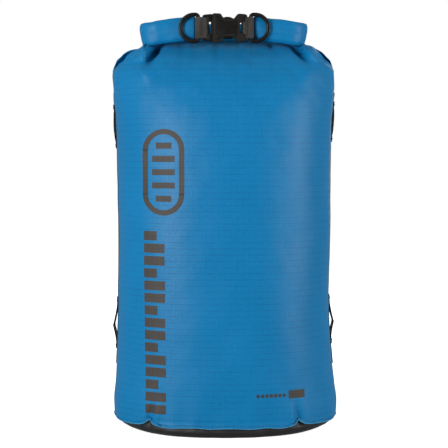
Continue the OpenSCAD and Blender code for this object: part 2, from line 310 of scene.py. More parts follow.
def webbing_material(name, base, light):
    """Flat woven webbing: slanted ribs that change direction at the middle rows, with fuzzy edges."""
    material, tree, shader = new_material(name)
    _, u, v = uv_axes(tree)
    fold = calc(tree, "PINGPONG", v, 3.1)
    slant = calc(tree, "MULTIPLY_ADD", fold, 0.55, u)
    rib_wave = calc(tree, "SINE", calc(tree, "MULTIPLY", slant, TAU / 1.5))
    cross = calc(tree, "SINE", calc(tree, "MULTIPLY", v, TAU / 0.9))
    wave = calc(tree, "MULTIPLY_ADD", cross, 0.45, rib_wave)
    grain = noise_node(tree, 900.0, 3.0)
    patch = noise_node(tree, 60.0, 2.0)
    colour = blend_colour(tree, ramp(tree, wave, -1.2, 1.3), base, light)
    colour = blend_colour(tree, ramp(tree, grain, 0.45, 0.75, 0, 0.45), colour, scaled(base, 0.5))
    colour = blend_colour(tree, ramp(tree, patch, 0.4, 0.8, 0, 0.35), colour, scaled(light, 1.5))
    finish(tree, shader, colour, calc(tree, "MULTIPLY_ADD", grain, 0.25, 0.6), 0.25, 0.15)
    add_bump(tree, shader, calc(tree, "MULTIPLY_ADD", grain, 0.7, wave), 0.6, 0.00025)
    return material


def plastic_material(name, base, worn, roughness):
    """Moulded nylon: fine spark texture, uneven gloss, and paler rubbed edges."""
    material, tree, shader = new_material(name)
    grain = noise_node(tree, 1400.0, 3.0)
    cloud = noise_node(tree, 90.0, 3.0)
    point = add(tree, "ShaderNodeNewGeometry").outputs["Pointiness"]
    uneven = ramp(tree, cloud, 0.3, 0.7, 0.2, 0.6)
    rub = calc(tree, "MULTIPLY", ramp(tree, point, 0.51, 0.6), uneven)
    colour = blend_colour(tree, rub, base, worn)
    colour = blend_colour(tree, ramp(tree, cloud, 0.4, 0.75, 0, 0.5), colour, scaled(base, 1.4))
    finish(tree, shader, colour, calc(tree, "MULTIPLY_ADD", cloud, 0.18, roughness - 0.09), 0.22)
    add_bump(tree, shader, grain, 0.25, 0.00012)
    return material


def thread_material(name, base, light):
    """Twisted bonded thread."""
    material, tree, shader = new_material(name)
    _, u, v = uv_axes(tree)
    slant = calc(tree, "MULTIPLY_ADD", v, 1.2, u)
    twist = calc(tree, "SINE", calc(tree, "MULTIPLY", slant, TAU / 0.6))
    grain = noise_node(tree, 1500.0, 2.0)
    colour = blend_colour(tree, ramp(tree, twist, -1.0, 1.0), base, light)
    colour = blend_colour(tree, ramp(tree, grain, 0.4, 0.8, 0, 0.4), colour, scaled(base, 0.5))
    finish(tree, shader, colour, 0.55)
    add_bump(tree, shader, twist, 0.5, 0.0001)
    return material


def ink_material(name, base):
    """Screen-printed ink, thin over the weave: the ripstop grid shows through, with small misses."""
    material, tree, shader = new_material(name)
    _, u, v = uv_axes(tree)
    grid = calc(tree, "MAXIMUM", line_mask(tree, u, GRID, 0.42), line_mask(tree, v, GRID, 0.42))
    speck = noise_node(tree, 700.0, 3.0)
    cloud = noise_node(tree, 45.0, 2.0)
    colour = blend_colour(tree, ramp(tree, cloud, 0.3, 0.8, 0, 0.4), base, scaled(base, 1.5))
    colour = blend_colour(tree, calc(tree, "MULTIPLY", grid, 0.3), colour, scaled(base, 0.6))
    colour = blend_colour(tree, ramp(tree, speck, 0.62, 0.75, 0, 0.5), colour, (0.02, 0.09, 0.2))
    finish(tree, shader, colour, calc(tree, "MULTIPLY_ADD", speck, 0.2, 0.5), 0.3)
    add_bump(tree, shader, calc(tree, "ADD", grid, speck), 0.3, 0.00015)
    return material


def film_material(name, base):
    """Heat-bonded film or a smooth plastic strip, slightly rippled."""
    material, tree, shader = new_material(name)
    ripple = noise_node(tree, 120.0, 2.0)
    fine = noise_node(tree, 700.0, 2.0)
    colour = blend_colour(tree, ramp(tree, ripple, 0.35, 0.7, 0, 0.6), base, scaled(base, 0.75))
    finish(tree, shader, colour, calc(tree, "MULTIPLY_ADD", fine, 0.2, 0.25))
    add_bump(tree, shader, ripple, 0.3, 0.0003)
    return material


def floor_material():
    material, tree, shader = new_material("studio_floor")
    cloud = noise_node(tree, 3.0, 2.0)
    colour = blend_colour(tree, cloud, (0.9, 0.9, 0.9), (0.94, 0.94, 0.94))
    finish(tree, shader, colour, 0.8, 0.1)
    shader.inputs["Emission Color"].default_value = (1, 1, 1, 1)
    shader.inputs["Emission Strength"].default_value = 0.8
    return material


SHELL = ripstop_material(
    "shell_ripstop", (0.001, 0.1565, 0.361), (0.0008, 0.113, 0.277), 0.46, sheen=0.03, specular=0.2
)
BASE = ripstop_material("base_ripstop", (0.012, 0.012, 0.013), (0.02, 0.02, 0.021), 0.5, sheen=0.05)
LASH = webbing_material("lash_webbing", (0.006, 0.006, 0.007), (0.022, 0.022, 0.025))
TAB = webbing_material("buckle_webbing", (0.017, 0.015, 0.0135), (0.053, 0.047, 0.041))
PLASTIC = plastic_material("moulded_nylon", (0.0035, 0.0032, 0.0028), (0.026, 0.023, 0.02), 0.38)
THREAD = thread_material("bonded_thread", (0.008, 0.008, 0.009), (0.04, 0.04, 0.044))
TAB_THREAD = thread_material("tab_thread", (0.02, 0.0175, 0.0155), (0.062, 0.054, 0.047))
BLUE_THREAD = thread_material("hem_thread", (0.002, 0.14, 0.33), (0.01, 0.2, 0.42))
# The hem edge's paler blue is a painted highlight along the hem's fold, not the fabric's own colour.
HEM_HIGHLIGHT = thread_material("hem_highlight_edge", (0.02, 0.24, 0.48), (0.07, 0.36, 0.62))
INK = ink_material("print_ink", (0.043, 0.038, 0.033))
TAPE = film_material("seam_film", (0.5, 0.55, 0.6))
STRIP = film_material("stiffener_strip", (0.03, 0.03, 0.034))


# ---------- fabric shell: its shape
# Pairs of (height, value): half width, half depth, and how far the outline's middle lies back.
half_width = smooth_curve([
    (0, 108), (2.5, 117.5), (5, 122.5), (11, 129), (18, 132.1), (30, 132.5), (50, 130.2), (75, 128.2),
    (145, 125.4), (240, 126), (310, 126.3), (338, 126.8), (362, 128.2), (386, 130.5), (410, 132.2),
    (420, 133), (434, 128), (439, 122.6), (443, 118.4), (446, 112.5), (450, 101.7), (451.7, 97),
    (460, 95),
])
half_depth = smooth_curve([
    (0, 96), (5, 100), (11, 101), (30, 102), (75, 105), (180, 108), (310, 106), (362, 99.5),
    (400, 88), (420, 76), (434, 62), (442, 51), (447, 42), (450, 34), (452.5, 27), (455, 18),
    (457, 9), (460, 4),
])
depth_shift = smooth_curve([(0, 0), (360, 0), (434, 6), (442, 9), (451.7, 11), (460, 11)])
CORNER = 2 / 2.3  # squareness of the outline seen from above
BEND_X, BEND_R = 75.3, 17.0  # where the roll's ends start to bend forward, and the bend's radius
BACK_FOLDS = np.array([-0.96, -1, 1])  # turns the front's folds round to the back
broad = make_noise(3, 150)
medium = make_noise(11, 62)
fine_folds = make_noise(23, 24)


def plain_skin(angle, z):
    """The shell without its folds. The neck bends forward at its ends, as the roll does."""
    angle, z = np.broadcast_arrays(angle, np.asarray(z, float))
    x = half_width(z) * signed_power(np.cos(angle), CORNER) + 1.6 * (1 - smoothstep(40, 170, z))
    y = half_depth(z) * signed_power(np.sin(angle), CORNER) + depth_shift(z)
    past = np.clip(np.abs(x) - BEND_X, 0, BEND_R - 0.01)
    follow = BEND_R - np.sqrt(BEND_R**2 - past**2)
    y = y - follow * smoothstep(426, 450, z)
    return np.stack([x, y, z], -1)


def pleat(p, x, z, along, lean, left, right):
    """A bump seen from the front along a leaning line, with its own softness on each side."""
    dx, dz = p[..., 0] - x, p[..., 2] - z
    c, s = math.cos(lean), math.sin(lean)
    t, w = dx * s + dz * c, dx * c - dz * s
    return np.exp(-((t / along) ** 2) - (w / np.where(w > 0, right, left)) ** 2)


def mound(p, x, z, along, across, lean=0.0):
    """A pleat with the same softness on both sides."""
    return pleat(p, x, z, along, lean, across, across)


def front_folds(p):
    """The ridges beside the pits, and slack lines that run down from the buckle."""
    x, z = p[..., 0], p[..., 2]
    d = 2.5 * mound(p, -92, 436, 13, 8, 0.4) + 3.4 * mound(p, 102, 437, 12, 8, -0.5)
    d = d + 2.6 * mound(p, -90, 414, 9, 9) + 2.2 * mound(p, 98, 414, 9, 9)
    d = d + 2.2 * mound(p, -68, 438, 13, 8, 0.44) + 2.0 * mound(p, 74, 438, 13, 8, -0.6)
    under = bell(z - 452, 55) * bell(x, 62)
    d = d + 0.6 * under * np.sin(x * TAU / 21 + 0.8) + 0.4 * under * np.sin(x * TAU / 13.3 + 2.1)
    return d


def pits(p):
    """How deep the fabric is tucked in under the roll's ends, and at two small puckers between them."""
    ends = 30 * pleat(p, -79.5, 440, 11, 0.49, 4.4, 3.4) + 26 * pleat(p, 88, 440, 11, -0.7, 3.6, 6.0)
    return ends + 9 * mound(p, 55, 450.5, 4.5, 3.2) + 2.5 * mound(p, -50, 451, 5, 4)


def base_folds(p):
    """Pleats where the oval base is sewn in."""
    x, z = p[..., 0], p[..., 2]
    low = 1 - smoothstep(16, 60, z)
    d = -3.4 * mound(p, -85, 21, 13, 3.6, 0.25) - 3.2 * mound(p, 87, 21, 13, 3.6, -0.25)
    d = d + 1.8 * mound(p, -77, 24, 14, 5) + 1.7 * mound(p, 79, 24, 14, 5)
    d = d + 0.45 * low * np.sin(x * TAU / 31 + 1.0)
    return d - 0.9 * mound(p, -27, 15, 9, 5) - 0.8 * mound(p, 22, 14, 9, 6)


def shoulder(p):
    """Place across the shoulder's pocket, 0 at its middle, and how much of the pocket there is."""
    x, z = np.abs(p[..., 0]), p[..., 2]
    side = p[..., 1] - depth_shift(z) + BEND_R * smoothstep(426, 450, z) * smoothstep(90, 96, x)
    amount = smoothstep(88, 98, x) * bell(z - 438, 12) * (1 - smoothstep(445, 453, z))
    return side, amount


def side_folds(p):
    """The shoulder's pocket: the front's edge lies further in than the back's."""
    side, amount = shoulder(p)
    groove = bell(side, 5)
    back = bell(side - 9, 8)
    front = smoothstep(3, 8, -side) * (1 - smoothstep(20, 42, -side))
    width = np.where(p[..., 0] < 0, 10.0, 6.5)
    uneven = 1.5 * mound(p, 106, 447, 9, 9) - 2 * mound(p, -103, 452, 5, 8)
    return amount * (0.8 * back - 0.75 * width * groove - width * front) + uneven


def drawn_back(p, front):
    """How far back (+Y) pits and shoulder pockets are drawn, less the gussets that come forward."""
    side, amount = shoulder(p)
    pocket = 18 * bell(side, 4) - 7 * bell(side - 9, 5)
    gusset = 9 * mound(p, -91, 447, 8, 5.5, 0.35) + 6 * mound(p, 103, 446, 8, 6, -0.5)
    tucked = np.where(front > 0, pits(p) - gusset, -0.4 * pits(p * BACK_FOLDS))
    below = 1 - smoothstep(452, 457, p[..., 2])
    return amount * pocket + tucked * smoothstep(0.0, 0.12, np.abs(front)) * below


def folds(p, front):
    """How far the fabric stands out from the plain skin; front is 1 at the front, -1 at the back."""
    z = p[..., 2]
    calm = 1 - 0.8 * smoothstep(425, 448, z)
    d = calm * (0.75 * broad(p) + 0.45 * medium(p) + 0.12 * fine_folds(p))
    d = d + 0.5 * smoothstep(360, 430, z) * calm * fine_folds(p)
    d = d + smoothstep(0.0, 0.12, front) * (front_folds(p) + base_folds(p))
    mirrored = p * BACK_FOLDS
    d = d + smoothstep(0.0, 0.12, -front) * (0.55 * front_folds(mirrored) + base_folds(mirrored))
    return (d + side_folds(p)) * (1 - smoothstep(451, 456, z))


def skin(angle, z, lift=0.0):
    """Points on the finished fabric, lifted along its normal; z and lift may be single numbers."""
    step = 0.004
    p = plain_skin(angle, z)
    across = plain_skin(angle + step, z) - plain_skin(angle - step, z)
    up = plain_skin(angle, z + 0.6) - plain_skin(angle, np.maximum(z - 0.6, 0))
    normal = np.cross(across, up)
    length = np.linalg.norm(normal, axis=-1, keepdims=True)
    normal = normal / np.maximum(length, 1e-9)
    depth = folds(p, -np.sin(angle))
    out = p + normal * (depth + lift)[..., None]
    out[..., 1] += drawn_back(p, -np.sin(angle))
    return out


def front_angle(x, z):
    """The angle whose front point has this x."""
    c = np.sign(x) * np.minimum(np.abs(x) / half_width(z), 1) ** (1 / CORNER)
    return TAU - np.arccos(c)


def side_angle(y, z, side):
    """The angle whose point on one side has this y."""
    away = y - depth_shift(z)
    s = np.sign(away) * np.minimum(np.abs(away) / half_depth(z), 1) ** (1 / CORNER)
    return np.arcsin(s) if side > 0 else math.pi - np.arcsin(s)


def even_angles(start, stop, count):
    """Angles that cut the waist's outline into equal lengths, and the length at each."""
    dense = np.linspace(start, stop, 4000)
    points = plain_skin(dense, 200.0)
    length = np.concatenate([[0], np.cumsum(np.linalg.norm(np.diff(points, axis=0), axis=1))])
    even = np.linspace(0, length[-1], count)
    return np.interp(even, length, dense), even


def hem_height(angle, front=None):
    """Height of the hem's edge: it lifts where the base is pleated. front is 1, or -1 at the back."""
    if front is None:
        front = np.where(np.sin(angle) < 0, 1.0, -1.0)
    x = plain_skin(angle, 12.0)[..., 0]
    lift = 7 * np.exp(-np.abs(x + 84) / 5.5) + 6.5 * np.exp(-np.abs(x - 86) / 5.5)
    lift = lift + 1.0 * bell(x + 27, 9) - 0.8 * bell(x - 60, 14)
    lift = lift + 0.5 * np.sin(x * TAU / 47 + front)
    return 11.6 + lift


# ---------- fabric shell: its pieces
SHELL_TOP = 457.0


def panel_grid(start, stop, front):
    """Points and uv of half the tube: the hem's turned edge first, then rows up to the roll."""
    angle, along = even_angles(start, stop, 176)
    hem = hem_height(angle, front)
    curl = [
        (6.0, -2.0), (3.0, -1.9), (1.0, -1.5), (0.2, -0.8), (-0.2, 0.0), (0.3, 0.75), (1.2, 1.0),
        (3.5, 1.0),
    ]
    rise = np.concatenate([
        np.linspace(6, 40, 20), np.linspace(42, 340, 120)[1:], np.linspace(342, SHELL_TOP, 90)[1:],
    ])
    rows, uv = [], []
    for above, out in curl:
        rows.append(skin(angle, hem + above, out))
        uv.append(np.stack([along, hem + above + 3 * out], -1))
    for z in rise:
        height = z + (hem - 6) * (1 - smoothstep(6, 60, z))
        ease = 0.9 * (1 - smoothstep(14, 17, height))
        rows.append(skin(angle, height, ease))
        uv.append(np.stack([along, height], -1))
    return np.array(rows), np.array(uv)


def shell_panel(name, start, stop, front, node):
    points, uv = panel_grid(start, stop, front)
    obj = make_mesh(name, points, quads(*points.shape[:2]), SHELL, uv)
    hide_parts(node)
    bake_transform(obj)
    return obj


def base_piece():
    """Black base: tucked up behind the hem, round at its edge and flat underneath."""
    cols = 300
    angle = np.linspace(0, TAU, cols, endpoint=False)
    inset = [
        (22, -2.6), (15, -2.4), (11, -2.0), (9, -0.8), (7, -0.2), (5, 0.0), (3, 0.2), (1.6, 0.1),
        (0.6, -0.4),
    ]
    rows, uv = [], []
    for z, out in inset:
        row = skin(angle, z, out)
        if z < 4:
            row[:, 2] = z
        rows.append(row)
    edge = rows[-1].copy()
    for shrink in (0.992, 0.97, 0.9, 0.75, 0.5, 0.25, 0.02):
        ring = edge * np.array([shrink, shrink, 0])
        ring[:, 2] = 0.25 * (1 - shrink) * np.abs(np.sin(3 * angle)) + (0.15 if shrink > 0.98 else 0)
        rows.append(ring)
    points = np.array(rows)[::-1]
    uv = points[..., :2] + points[..., 2:3] * 0.8
    faces = quads(len(points), cols, close_cols=True)
    obj = make_mesh("base_panel_fabric", points, faces, BASE, uv)
    place(obj, "bag", "base_fabric", "base_panel")


def path_length(points):
    return np.concatenate([[0], np.cumsum(np.linalg.norm(np.diff(points, axis=0), axis=1))])


def ribbon(name, centre, wide_axis, out_axis, width, thick, material):
    """A flat strip with rounded edges along a line of centres."""
    flat = np.linspace(-1, 1, 17)
    bow = np.sqrt(np.clip(1 - np.abs(flat) ** 10, 0, 1))
    wide = np.concatenate([flat, flat[::-1][1:-1]]) * width / 2
    out = np.concatenate([bow, -bow[::-1][1:-1]]) * thick / 2
    rows = centre[:, None] + wide[:, None] * wide_axis[:, None] + out[:, None] * out_axis[:, None]
    uv = np.stack(np.meshgrid(path_length(centre), wide, indexing="ij"), -1)
    return make_mesh(name, rows, tube_faces(*rows.shape[:2]), material, uv, tidy=True)


# ---------- sides
LOOPS = {-1: ((98, 144), (338, 374)), 1: ((104, 147), (346, 378))}


def loop_lift(z, side):
    """How far each loop stands off: the upper ones are almost flat, the lower ones gape to a point."""
    lift = np.zeros_like(z)
    for low, high in LOOPS[side]:
        inside = np.clip((z - low) / (high - low), 0, 1)
        flat = 1.5 * np.sin(math.pi * inside) ** 0.6
        point = 4.3 * np.minimum(inside / 0.42, (1 - inside) / 0.58) ** 1.3
        lift = np.maximum(lift, point if low < 200 else flat)
    return lift


LASH_Y = sum(c[1] for c in box_mm("left_lash_strip")) / 2


def strip_part(side, middle, z0, z1, width, thick, off, lift=None):
    """Strip down one side that follows the fabric; lift says how far it stands off at each height."""
    z = np.linspace(z0, z1, max(4, int((z1 - z0) / 1.5)))
    across = np.linspace(-1, 1, 15)
    t = thick / 2
    rows, uv = [], []
    for edge, layer in [(a, 1) for a in across] + [(a, -1) for a in across[::-1]]:
        y = np.full_like(z, middle + edge * width / 2)
        bow = t * math.sqrt(max(0.0, 1 - abs(edge) ** 8))
        height = off + t + layer * bow + (lift(z, side) if lift else 0)
        rows.append(skin(side_angle(y, z, side), z, height))
        uv.append(np.stack([z, y - middle], -1))
    points = np.array(rows).transpose(1, 0, 2)
    uv = np.array(uv).transpose(1, 0, 2)
    return points.reshape(-1, 3), tube_faces(*points.shape[:2]), uv.reshape(-1, 2)


STITCH = (  # place along a stitch, then its thickness and its rise out of the cloth there
    (0, 0.45, -0.5), (0.12, 0.85, 0.15), (0.35, 1, 0.45), (0.65, 1, 0.45), (0.88, 0.85, 0.15),
    (1, 0.45, -0.5),
)


def capsule(a, b, normal, radius, sides=7):
    """One stitch: a short fat line of thread between two points, ends dipping into the cloth."""
    a, b, normal = np.array(a), np.array(b), np.array(normal)
    way = b - a
    across = np.cross(way, normal)
    across = across / np.linalg.norm(across)
    rows = []
    for t, swell, rise in STITCH:
        centre = a + way * t + normal * radius * rise
        for k in range(sides):
            turn = TAU * k / sides
            rows.append(centre + radius * swell * (across * math.cos(turn) + normal * math.sin(turn)))
    rows = np.array(rows)
    uv = np.stack([np.linalg.norm(rows - a, axis=1), (rows - a) @ across], -1)
    return rows, tube_faces(len(STITCH), sides), uv


def side_tacks(name, side):
    """Zigzag bar tacks above and below each loop."""
    parts = []
    for low, high in LOOPS[side]:
        for z_mid in (low - 4, high + 4):
            ys = np.linspace(-8.2, 8.2, 19)
            zs = z_mid + 1.4 * (-1.0) ** np.arange(1, len(ys) + 1)
            ends = skin(side_angle(ys + LASH_Y, zs, side), zs, 2.2)
            parts += [capsule(a, b, (side, 0, 0), 0.42) for a, b in zip(ends[:-1], ends[1:])]
    return make_joined(name, parts, THREAD)


def sides():
    for side, word in ((-1, "left"), (1, "right")):
        parts = [strip_part(side, LASH_Y, 72, 396, 20, 1.1, 0.15)]
        for low, high in LOOPS[side]:
            parts.append(strip_part(side, LASH_Y, low - 8, high + 8, 19.6, 1.1, 1.25, loop_lift))
        strip = make_joined(f"{word}_lash_webbing", parts, LASH, tidy=True)
        place(strip, "bag", "lash_webbing", f"{word}_lash_strip")
        place(side_tacks(f"{word}_tack_thread", side), "bag", "thread", f"{word}_bar_tacks")
        parts = [strip_part(side, 0, 30, 414, 18, 0.4, -3.2)]
        tape = make_joined(f"{word}_seam_film", parts, TAPE, tidy=True)
        place(tape, "bag", "seam_tape", f"{word}_seam_tape")


def base_tape():
    """Film over the seam between the shell and the base, on the inside."""
    angle = np.linspace(0, TAU, 200, endpoint=False)
    corners = ((12, -3.4), (20, -3.4), (20, -3.9), (12, -3.9))
    points = np.array([skin(angle, z, out) for z, out in corners])
    uv = points[..., [0, 2]]
    faces = quads(4, 200, close_rows=True, close_cols=True)
    obj = make_mesh("base_seam_film", points, faces, TAPE, uv, tidy=True)
    place(obj, "bag", "seam_tape", "base_seam_tape")


def hem_stitches():
    """A row of thread just above the hem's edge, all the way round."""
    angle, _ = even_angles(0, TAU, 196)
    parts = []
    for k in range(len(angle) - 1):
        pair = angle[k] + (angle[k + 1] - angle[k]) * np.array([0, 0.68])
        z = hem_height(pair) + 3.4
        ends = skin(pair, z, 1.05)
        out = skin(pair, z, 2.0)[0] - skin(pair, z, 1.0)[0]
        parts.append(capsule(ends[0], ends[1], out, 0.36, 6))
    place(make_joined("hem_thread", parts, BLUE_THREAD), "bag", "thread")


def hem_highlight_edge():
    """The cut and welded edge of the hem, painted a little paler than the fabric: a painted highlight
    along the hem's fold.
    """
    angle, along = even_angles(0, TAU, 520)
    angle, along = angle[:-1], along[:-1]
    hem = hem_height(angle)
    rows, uv = [], []
    for k in range(8):
        turn = TAU * k / 8
        rows.append(skin(angle, hem + 0.25 + 0.5 * math.sin(turn), 0.95 + 0.42 * math.cos(turn)))
        uv.append(np.stack([along, np.full_like(along, k * 0.4)], -1))
    faces = quads(8, len(angle), close_rows=True, close_cols=True)
    # The bead takes the paler blue of the painted highlight.
    obj = make_mesh("hem_highlight_edge", rows, faces, HEM_HIGHLIGHT, uv, tidy=True)
    place(obj, "bag", "shell_fabric")


# ---------- rolled closure
BACK_Y, FRONT_Y, BEND_Y = 11.0, -23.0, -6.0  # the roll's back run, front lobes and bends' centres
ROLL_HALF_T, ROLL_HALF_H = 5.5, 14.0
ROLL_SIDES = 120
ROLL_CORNER = 2 / 3.4
crumple = make_noise(41, 30)
crumple_fine = make_noise(43, 12)


def roll_path(lobe_x, side):
    """Plan of half the roll, from the middle of the back run to the free end of the lobe."""
    back = [(side * x, BACK_Y) for x in np.arange(0, BEND_X, 2.0)]
    turn = [
        (side * (BEND_X + BEND_R * math.cos(a)), BEND_Y + BEND_R * math.sin(a))
        for a in np.linspace(math.pi / 2, -math.pi / 2, 40)
    ]
    front = [(side * x, FRONT_Y) for x in np.arange(BEND_X - 1.5, abs(lobe_x), -1.5)]
    return np.array(back + turn + front + [(lobe_x, FRONT_Y)])


def roll_half(name, lobe_x, side):
    """Half the roll: a squarish tube along its path, with an end that shows the turns of fabric."""
    path = roll_path(lobe_x, side)
    along = path_length(path)
    way = np.gradient(path, axis=0)
    way /= np.linalg.norm(way, axis=1)[:, None]
    out = np.stack([way[:, 1], -way[:, 0]], 1) * -side
    bend_start = along[np.argmax(path[:, 1] < BACK_Y - 0.01)]
    bend_end = bend_start + math.pi * BEND_R
    front_part = smoothstep(bend_start, bend_end, along)
    reach = np.abs(path[:, 0])
    top_line = 483.8 - 0.0029 * (reach - 42) ** 2 + 2.8 * (1 - smoothstep(38, 50, reach))
    bottom_line = 448.4 + 0.13 * (94 - reach)
    middle = 464.7 + ((top_line + bottom_line) / 2 - 464.7) * front_part
    turn = TAU * (np.arange(ROLL_SIDES) + 0.5) / ROLL_SIDES
    s_out = signed_power(np.cos(turn), ROLL_CORNER)
    s_up = signed_power(np.sin(turn), ROLL_CORNER)
    section_length = path_length(np.stack([s_out * ROLL_HALF_T, s_up * ROLL_HALF_H], 1))
    layer = np.abs(s_out)
    groove = -0.9 * (bell(layer - 0.42, 0.09) + bell(layer - 0.8, 0.07))
    top = smoothstep(0.75, 0.98, np.abs(s_up))
    rows, uv = [], []
    end_gap = along[-1] - along
    for i in range(len(path)):
        ease = 0.6 + 0.4 * math.sqrt(min(1.0, end_gap[i] / 3.0))
        thick = (ROLL_HALF_T + 0.56 * (1 - s_up**2)) * (0.93 + 0.07 * ease)
        tall = ROLL_HALF_H * (0.9 + 0.1 * ease)
        lean = 2.5 * math.sin(math.pi * front_part[i]) * s_up
        plan = path[i] + out[i] * (s_out * thick + lean)[:, None]
        p = np.column_stack([plan, middle[i] + s_up * tall + groove * top * np.sign(s_up)])
        swell = (0.55 * crumple(p) + 0.22 * crumple_fine(p)) * (0.35 + 0.65 * front_part[i])
        p[:, :2] += out[i] * (np.sign(s_out) * swell)[:, None]
        p[:, 2] += 0.5 * swell * np.sign(s_up) * top
        rows.append(p)
        uv.append(np.stack([np.full(ROLL_SIDES, along[i]), section_length], 1))
    end = rows[-1]
    centre = end.mean(0)
    direction = np.array([way[-1, 0], way[-1, 1], 0])
    for shrink in np.linspace(0.94, 0.02, 22):
        ring = centre + (end - centre) * shrink
        relief = 0.9 * math.cos(TAU * shrink * 3.5) + 1.2 * (1 - shrink**2)
        rows.append(ring + direction * relief)
        uv.append(np.stack([np.full(ROLL_SIDES, along[-1] + (1 - shrink) * 6), section_length], 1))
    faces = quads(len(rows), ROLL_SIDES, close_cols=True)
    return make_mesh(name, rows, faces, SHELL, uv, tidy=True)


def closure():
    right = roll_half("rolled_mouth_right", 36.4, 1)
    place(right, "closure", "shell_fabric", "rolled_collar")
    left = roll_half("rolled_mouth_left", -33.8, -1)
    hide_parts("rolled_collar_end")
    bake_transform(left)


# ---------- rings and webbing
female_lo, female_hi = box_mm("buckle_female")
BUCKLE_Y = (female_lo[1] + female_hi[1]) / 2
BUCKLE_Z = (female_lo[2] + female_hi[2]) / 2
FEMALE_BAR_X, MALE_BAR_X = 23.9, -20.0
RING_HALF = 2.25
ENDS = (  # side, its sign, its ring's bar, its buckle bar, where its webbing starts, its body
    ("left", -1, -29.5, MALE_BAR_X, -37.5, "left_end"),
    ("right", 1, 31.9, FEMALE_BAR_X, 40.0, "closure"),
)


def sweep_closed(path, radius_in, radius_thick, sides=20):
    """A bar with a softly squared section along a closed path in the XZ plane."""
    count = len(path)
    ahead, behind = np.roll(path, -1, axis=0), np.roll(path, 1, axis=0)
    way = ahead - behind
    way /= np.linalg.norm(way, axis=1)[:, None]
    inward = np.stack([-way[:, 1], way[:, 0]], 1)
    turn = TAU * np.arange(sides) / sides
    ci = signed_power(np.cos(turn), 0.8) * radius_in
    cy = signed_power(np.sin(turn), 0.8) * radius_thick
    points = np.empty((count, sides, 3))
    points[..., 0] = path[:, None, 0] + inward[:, None, 0] * ci
    points[..., 1] = cy
    points[..., 2] = path[:, None, 1] + inward[:, None, 1] * ci
    return points.reshape(-1, 3), quads(count, sides, close_rows=True, close_cols=True)


def rounded(corners, radius, steps=5):
    """An outline with each corner turned into an arc; radius is one number or one for each corner."""
    corners = [np.array(c, float) for c in corners]
    radii = radius if isinstance(radius, (list, tuple)) else [radius] * len(corners)
    result = []
    for i, corner in enumerate(corners):
        before, after = corners[i - 1], corners[(i + 1) % len(corners)]
        a, b = before - corner, after - corner
        la, lb = np.linalg.norm(a), np.linalg.norm(b)
        cut = min(radii[i], la * 0.49, lb * 0.49)
        if cut <= 0.01:
            result.append(corner)
            continue
        p, q = corner + a / la * cut, corner + b / lb * cut
        for t in np.linspace(0, 1, steps + 1):
            result.append((1 - t) ** 2 * p + 2 * t * (1 - t) * corner + t**2 * q)
    return np.array(result)


def d_ring(word, side, bar_x):
    """A straight bar, two tight corners and a half circle."""
    lo, hi = box_mm(f"{word}_d_ring")
    half = (hi[2] - lo[2]) / 2 - RING_HALF
    arm = (hi[0] - lo[0]) - 2 * RING_HALF - half
    corner = 3.2
    straight = [(0.0, z) for z in np.linspace(corner - half, half - corner, 14)]
    tight = [
        (side * corner * (1 - math.cos(a)), half - corner * (1 - math.sin(a)))
        for a in np.linspace(0.2, math.pi / 2, 6)
    ]
    arc = [(side * (arm + half * math.sin(a)), half * math.cos(a)) for a in np.linspace(0, math.pi, 56)]
    path = straight + tight + arc + [(x, -z) for x, z in tight[::-1]]
    points, faces = sweep_closed(np.array(path), 2.4, 2.15)
    points = points + np.array([bar_x, BUCKLE_Y, BUCKLE_Z])
    obj = make_mesh(f"{word}_ring_bar", points, faces, PLASTIC, points[:, [0, 2]], tidy=True)
    place(obj, f"{word}_ring", "d_ring", f"{word}_d_ring")


def tab_path(ring_x, bar_x, lobe_x):
    """Plan of the webbing: from the lobe behind the ring's bar, round the buckle's bar and back."""
    ring_r, bar_r = RING_HALF + 0.85, 1.7 + 0.85
    toward = 1 if bar_x > ring_x else -1
    points = [(lobe_x - toward * 9, FRONT_Y), (lobe_x - toward * 1.0, FRONT_Y)]
    points += [(lobe_x + toward * 2.6, FRONT_Y - 1.4), (ring_x - toward * 2.2, BUCKLE_Y + ring_r + 1.2)]
    points += [(ring_x + toward * 1.0, BUCKLE_Y + ring_r + 0.1)]
    points += [(ring_x + toward * 4.0, BUCKLE_Y + 1.7), (bar_x - toward * 1.8, BUCKLE_Y + 1.9)]
    for a in np.linspace(math.pi / 2, -math.pi / 2, 13):
        points.append((bar_x + toward * bar_r * math.cos(a), BUCKLE_Y + bar_r * math.sin(a)))
    points.append((bar_x - toward * 2.4, BUCKLE_Y - bar_r + 0.1))
    points.append((ring_x + toward * 2.4, BUCKLE_Y - ring_r + 0.2))
    for a in np.linspace(-math.pi / 2, -1.35 * math.pi, 12):
        points.append((ring_x + toward * ring_r * math.cos(a), BUCKLE_Y + ring_r * math.sin(a)))
    return np.array(points)


def resample(points, spacing):
    length = path_length(points)
    count = max(4, int(length[-1] / spacing))
    even = np.linspace(0, length[-1], count)
    return np.stack([np.interp(even, length, points[:, k]) for k in range(points.shape[1])], 1)


def webbing_tab(word, ring_x, bar_x, lobe_x, body):
    plan = resample(tab_path(ring_x, bar_x, lobe_x), 0.5)
    kernel = np.array([1, 2, 3, 2, 1]) / 9
    for k in (0, 1):
        padded = np.pad(plan[:, k], 2, mode="edge")
        plan[:, k] = np.convolve(padded, kernel, mode="valid")
    centre = np.stack([plan[:, 0], plan[:, 1], np.full(len(plan), BUCKLE_Z)], 1)
    way = np.gradient(centre, axis=0)
    way /= np.linalg.norm(way, axis=1)[:, None]
    up = np.tile([0.0, 0.0, 1.0], (len(plan), 1))
    out = np.cross(way, up)
    obj = ribbon(f"{word}_tab_weave", centre, up, out, 25.2, 1.3, TAB)
    place(obj, body, "buckle_webbing", f"{word}_webbing_tab")


